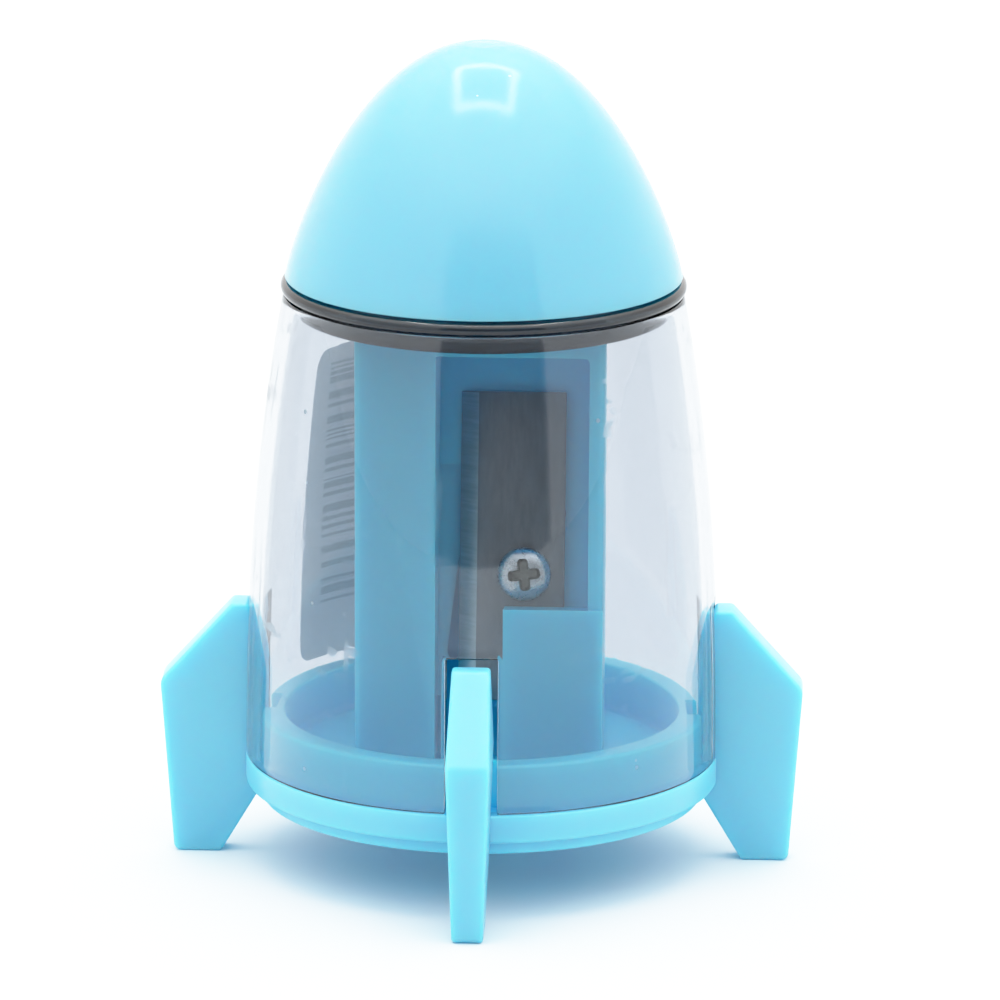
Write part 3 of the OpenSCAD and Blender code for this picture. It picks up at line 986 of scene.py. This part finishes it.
# %% Turn the base's round part
socket_r = 6.05 * MM
hub_r = 8.0 * MM
core_r = STEP_R - 1.5 * MM
core_top = STEP_BOTTOM + 1.6 * MM
edge_round = 0.3 * MM
section = [
    (socket_r, STEP_BOTTOM),
    (hub_r, STEP_BOTTOM),
    (hub_r, core_top),
    (core_r, core_top),
    (core_r, STEP_BOTTOM),
    *arc((STEP_R - edge_round, STEP_BOTTOM + edge_round), edge_round, -90, 0, 4),
    (STEP_R, FLANGE_BOTTOM),
    *arc((FLANGE_R - edge_round, FLANGE_BOTTOM + edge_round), edge_round, -90, 0, 4),
    *arc((FLANGE_R - 0.15 * MM, FLANGE_TOP - 0.15 * MM), 0.15 * MM, 0, 90, 3),
    (PLUG_R, FLANGE_TOP),
    *arc((PLUG_R - edge_round, PLUG_TOP - edge_round), edge_round, 0, 90, 4),
    *arc((PLUG_R - PLUG_WALL + 0.2 * MM, PLUG_TOP - 0.2 * MM), 0.2 * MM, 90, 180, 3),
    *arc((PLUG_R - PLUG_WALL - 0.6 * MM, FLANGE_TOP + 0.6 * MM), 0.6 * MM, 0, -90, 4),
    (socket_r, FLANGE_TOP),
]
base = turned(section)
GAP_TOP = PLUG_TOP + MM
NOTCH_DEPTH = 1.2 * MM
GAP_L = 4 * MM
gap_r = PLUG_R - NOTCH_DEPTH + GAP_L / 2
gap_z = (GAP_TOP + FLANGE_TOP) / 2 - 0.01 * MM
gap_size = (GAP_L, 2 * SLOT_HALF, GAP_TOP - FLANGE_TOP)
for i in range(4):
    turn = i * math.pi / 2
    gap = box(gap_size, (gap_r * math.cos(turn), gap_r * math.sin(turn), gap_z), turn)
    combine(base, gap, "DIFFERENCE")
print("round part:", triangles(base), "triangles")

# %% [markdown]
# ### The fins
# A fin has one outline from the side and another from the front: mould halves need draft, so it gets
# thinner towards foot and top. The common part of two extruded outlines gives both at once. One fin
# is rounded, copied four times and fused on.

# %% Draw a fin and fuse four of them on
FIN_TOP = base_high.z
FIN_TIP_Z = 13.8 * MM


def rounded_outline(corners, steps=6):
    """Replace each (x, z, radius) corner with an arc; a radius of 0 stays sharp."""
    points = []
    for i, (x, z, radius) in enumerate(corners):
        here = Vector((x, z))
        before = (Vector(corners[i - 1][:2]) - here).normalized()
        after = (Vector(corners[(i + 1) % len(corners)][:2]) - here).normalized()
        if radius == 0:
            points.append(tuple(here))
            continue
        half = before.angle(after) / 2
        centre = here + (before + after).normalized() * radius / math.sin(half)
        first = here + before * radius / math.tan(half) - centre
        last = here + after * radius / math.tan(half) - centre
        turn = math.atan2(first.cross(last), first.dot(last))
        start = math.atan2(first.y, first.x)
        for k in range(steps + 1):
            a = start + turn * k / steps
            points.append((centre.x + radius * math.cos(a), centre.y + radius * math.sin(a)))
    return points


fin_corners = [
    (PLUG_R - MM, FLANGE_TOP - 0.8 * MM, 0),
    (PLUG_R, FLANGE_TOP - 0.8 * MM, 0),
    (PLUG_R, FIN_TOP - 3.9 * MM, MM),
    (PLUG_R + MM, FIN_TOP, 0.35 * MM),
    (PLUG_R + 2.3 * MM, FIN_TOP, 0.5 * MM),
    (24.7 * MM, FIN_TIP_Z, 1.2 * MM),
    (23.7 * MM, 0, 0.6 * MM),
    (20.1 * MM, 0, 0.4 * MM),
    (STEP_R - 0.1 * MM, STEP_BOTTOM + 0.4 * MM, 0),
    (PLUG_R - MM, STEP_BOTTOM + 0.4 * MM, 0),
]
FIN_FOOT_HALF = 1.15 * MM
FIN_TIP_HALF = 1.65 * MM
FIN_TOP_HALF = 1.4 * MM
fin = extruded([(x, -2 * MM, z) for x, z in rounded_outline(fin_corners)], (0, 4 * MM, 0))
draft = side_slab(
    [
        (-FIN_FOOT_HALF, -MM),
        (FIN_FOOT_HALF, -MM),
        (FIN_TIP_HALF, FIN_TIP_Z),
        (FIN_TOP_HALF, FIN_TOP + MM),
        (-FIN_TOP_HALF, FIN_TOP + MM),
        (-FIN_TIP_HALF, FIN_TIP_Z),
    ],
    PLUG_R - 2 * MM, 26 * MM,
)
combine(fin, draft, "INTERSECT")
round_edges(fin, 0.35 * MM, angle=60, segments=3)
fins = []
for i in range(4):
    activate(fin)
    bpy.ops.object.duplicate()
    copy = bpy.context.object
    copy.rotation_euler = (0, 0, i * math.pi / 2)
    apply_place(copy)
    fins.append(copy)
bpy.data.objects.remove(fin)
for copy in fins:
    combine(base, copy, "UNION")
soften(base, 32)
give_finishes(base, base_finish)
hand_over(base, "base_moulding", "base_assembly", "blue_plastic", "base")

# %% [markdown]
# ## The sharpener block
# The block is a box with a slanted pocket for the blade, a deeper mouth beside the cutting edge where
# the shavings leave, a raised guard over the blade's foot, and the pencil's bore with its cone. Each
# hollow is its own cutter, drawn in side view, and one Bevel rounds all the edges at the end.

# %% Cut the block
half_w = block_high.x
half_d = block_high.y
FAR = 30 * MM
POCKET_LEFT = -3.3 * MM
POCKET_RIGHT = 8.2 * MM
POCKET_TOP = block_high.z - 1.6 * MM
LOW = FLANGE_TOP - MM
block_middle = (0, 0, (block_high.z + FLANGE_TOP) / 2)
block = box((2 * half_w, 2 * half_d, block_high.z - FLANGE_TOP), block_middle)
select_in_edit_mode(block, "EDGE", lambda edge: abs(edge_direction(block, edge).z) > 0.9)
bpy.ops.mesh.bevel(offset=0.5 * MM, segments=3, affect="EDGES")
to_object_mode()

pocket = side_slab(
    [(-FAR, LOW), (seat_y(LOW), LOW), (seat_y(POCKET_TOP), POCKET_TOP), (-FAR, POCKET_TOP)],
    POCKET_LEFT, POCKET_RIGHT,
)


def pocket_top_right(edge):
    place = edge_middle(pocket, edge)
    return place.z > POCKET_TOP - 0.1 * MM and place.x > POCKET_RIGHT - 0.1 * MM


select_in_edit_mode(pocket, "EDGE", pocket_top_right)
bpy.ops.mesh.bevel(offset=0.4 * MM, segments=4, affect="EDGES")
to_object_mode()
combine(block, pocket, "DIFFERENCE")

GUARD_LEFT = 1.85 * MM
GUARD_TOP = FLANGE_TOP + 13.1 * MM
GUARD_FRONT = block_low.y
FOOT_Z = TAPER_APEX - 21.0 * MM * math.cos(TAPER) - 0.2 * MM
blade_front = BLADE_T + 0.1 * MM
guard_reach = seat_y(GUARD_TOP, blade_front) - GUARD_FRONT
GUARD_BACK_Z = GUARD_TOP - guard_reach * math.sin(TAPER) * math.cos(TAPER)
guard = side_slab(
    [
        (GUARD_FRONT, FLANGE_TOP),
        (seat_y(FLANGE_TOP) + MM, FLANGE_TOP),
        (seat_y(FOOT_Z) + MM, FOOT_Z),
        (seat_y(FOOT_Z, blade_front), FOOT_Z),
        (seat_y(GUARD_BACK_Z, blade_front), GUARD_BACK_Z),
        (GUARD_FRONT, GUARD_TOP),
    ],
    GUARD_LEFT, half_w - 0.02 * MM,
)
combine(block, guard, "UNION")

mouth_back = -1.2 * MM
mouth_top = TAPER_START - 0.6 * MM
combine(block, side_slab(
    [(-FAR, LOW), (mouth_back, LOW), (mouth_back, mouth_top), (-FAR, mouth_top)],
    POCKET_LEFT, GUARD_LEFT,
), "DIFFERENCE")
combine(block, side_slab(
    [
        (-FAR, mouth_top - MM),
        (mouth_back, mouth_top - MM),
        (mouth_back, mouth_top),
        (seat_y(TAPER_START) + MM, TAPER_START),
        (seat_y(31 * MM) + 0.5 * MM, 31 * MM),
        (-FAR, 31 * MM),
    ],
    POCKET_LEFT + 0.01 * MM, -0.9 * MM,
), "DIFFERENCE")
print("block:", triangles(block), "triangles")

# %% [markdown]
# ### The pencil's way
# The pencil comes in from below, through a round bore that ends in a cone. A drill with that shape is
# turned and taken away last, so that it also opens the mouth and the blade's seat as in the mould.

# %% Drill the pencil's way and round the edges
SPIGOT_R = 6.0 * MM
spigot_top = FLANGE_TOP + 0.5 * MM
section = [(0, STEP_BOTTOM), (SPIGOT_R, STEP_BOTTOM), (SPIGOT_R, spigot_top), (0, spigot_top)]
spigot = turned(section, 96, False)
combine(block, spigot, "UNION")
tip_r = 0.5 * MM
tip_z = TAPER_APEX - tip_r / math.tan(TAPER)
bore = turned(
    [
        (0, STEP_BOTTOM - MM),
        (BORE_R + 0.6 * MM, STEP_BOTTOM - MM),
        (BORE_R + 0.6 * MM, STEP_BOTTOM),
        (BORE_R, STEP_BOTTOM + 0.6 * MM),
        (BORE_R, TAPER_START),
        (tip_r, tip_z),
        (0, tip_z),
    ],
    96, False,
)
combine(block, bore, "DIFFERENCE")
round_edges(block, 0.18 * MM, angle=40, segments=2)
soften(block, 32)
give_finishes(block, block_finish)
hand_over(block, "block_moulding", "base_assembly", "blue_plastic", "sharpener_block")

# %% [markdown]
# ## The blade
# The blade is a flat bar. One cut with a slanted plane grinds its left side to an edge, and the facet
# gets its own finish, because its grind runs across. It is modelled upright at the origin and then
# tilted to the slope that the cone gives.

# %% Grind the blade
def on_slope(piece):
    """Tilt a piece modelled upright at the origin to the blade's slope."""
    piece.matrix_world = Matrix.Translation((0, 0, TAPER_APEX)) @ Matrix.Rotation(-TAPER, 4, "X")
    apply_place(piece)


BLADE_EDGE = -1.65 * MM
BLADE_W = 8.0 * MM
BLADE_FOOT = -21.0 * MM
BLADE_L = 23.6 * MM
FACET_W = 1.35 * MM
EDGE_LAND = 0.12 * MM
blade_middle = (BLADE_EDGE + BLADE_W / 2, BLADE_SEAT - BLADE_T / 2, BLADE_FOOT + BLADE_L / 2)
blade = box((BLADE_W, BLADE_T, BLADE_L), blade_middle)
facet_fall = BLADE_T - EDGE_LAND
facet_normal = Vector((-facet_fall, -FACET_W, 0)).normalized()
edit_all(blade)
bpy.ops.mesh.bisect(
    plane_co=(BLADE_EDGE, BLADE_SEAT - EDGE_LAND, 0), plane_no=facet_normal,
    use_fill=True, clear_outer=True,
)
to_object_mode()
round_edges(blade, 0.08 * MM, angle=70, segments=2)
SCREW_X = 3.3 * MM
SCREW_DOWN = 11.25 * MM
HOLE_R = 1.2 * MM
clear_selection()
bpy.ops.mesh.primitive_cylinder_add(vertices=48, radius=HOLE_R, depth=4 * MM)
hole = bpy.context.object
hole.matrix_world = Matrix.Translation((SCREW_X, 0, -SCREW_DOWN)) @ Matrix.Rotation(math.pi / 2, 4, "X")
apply_place(hole)
combine(blade, hole, "DIFFERENCE")
tidy_normals(blade)
give_finishes(blade, blade_finish, edge_finish, lambda face: face.normal.dot(facet_normal) > 0.999)
on_slope(blade)
soften(blade, 30)
hand_over(blade, "blade_plate", "base_assembly", "blade_steel", "blade")

# %% [markdown]
# ## The blade's screw
# A small pan-head screw with a cross recess. The head is turned, and the recess is cut with two
# wedges that narrow towards the bottom, as a driver's tip does.

# %% Turn the screw and cut its cross
HEAD_R = 2.05 * MM
HEAD_H = 1.1 * MM
SHANK_R = 0.9 * MM
SCREW_L = 5.0 * MM
threads = []
pitch = 0.7 * MM
for i in range(int(SCREW_L / pitch)):
    top = -i * pitch - 0.3 * MM
    threads += [(SHANK_R, top), (SHANK_R - 0.2 * MM, top - pitch / 2)]
head = []
for degrees in range(0, 91, 9):
    a = math.radians(degrees)
    head.append((HEAD_R * math.cos(a), 0.3 * MM + (HEAD_H - 0.3 * MM) * math.sin(a)))
section = [
    (0, -SCREW_L),
    (SHANK_R - 0.3 * MM, -SCREW_L),
    *reversed(threads),
    (SHANK_R, 0),
    (HEAD_R - 0.1 * MM, 0),
    (HEAD_R, 0.1 * MM),
    *head,
]
screw = turned(section, 96, False)
RECESS_L = 3.2 * MM
RECESS_W = 1.15 * MM
RECESS_DEPTH = 0.75 * MM
for turn in (7, 97):
    wedge = box((RECESS_L, RECESS_W, 2 * RECESS_DEPTH), (0, 0, HEAD_H))
    select_in_edit_mode(wedge, "EDGE", lambda edge: abs(edge_direction(wedge, edge).z) > 0.9)
    bpy.ops.mesh.bevel(offset=0.35 * RECESS_W, segments=4, affect="EDGES")
    to_object_mode()
    select_in_edit_mode(wedge, "VERT", lambda v: v.co.z < HEAD_H)
    bpy.ops.transform.resize(value=(0.62, 0.5, 1), center_override=(0, 0, 0))
    to_object_mode()
    wedge.rotation_euler = (0, 0, math.radians(turn))
    apply_place(wedge)
    combine(screw, wedge, "DIFFERENCE")


def in_recess(face):
    r = math.hypot(face.center.x, face.center.y)
    dome_z = 0.3 * MM + (HEAD_H - 0.3 * MM) * math.sqrt(max(1 - (r / HEAD_R) ** 2, 0))
    return 0.2 * MM < face.center.z < dome_z - 0.06 * MM and r < 0.85 * HEAD_R


# The faces inside the cross take the painted shade finish.
give_finishes(screw, screw_finish, recess_painted_shade_finish, in_recess)
soften(screw, 35)
head_seat = Matrix.Translation((SCREW_X, BLADE_SEAT - BLADE_T, -SCREW_DOWN))
screw.matrix_world = head_seat @ Matrix.Rotation(math.pi / 2, 4, "X")
apply_place(screw)
on_slope(screw)
hand_over(screw, "pan_head_screw", "base_assembly", "screw_steel", "blade_screw")
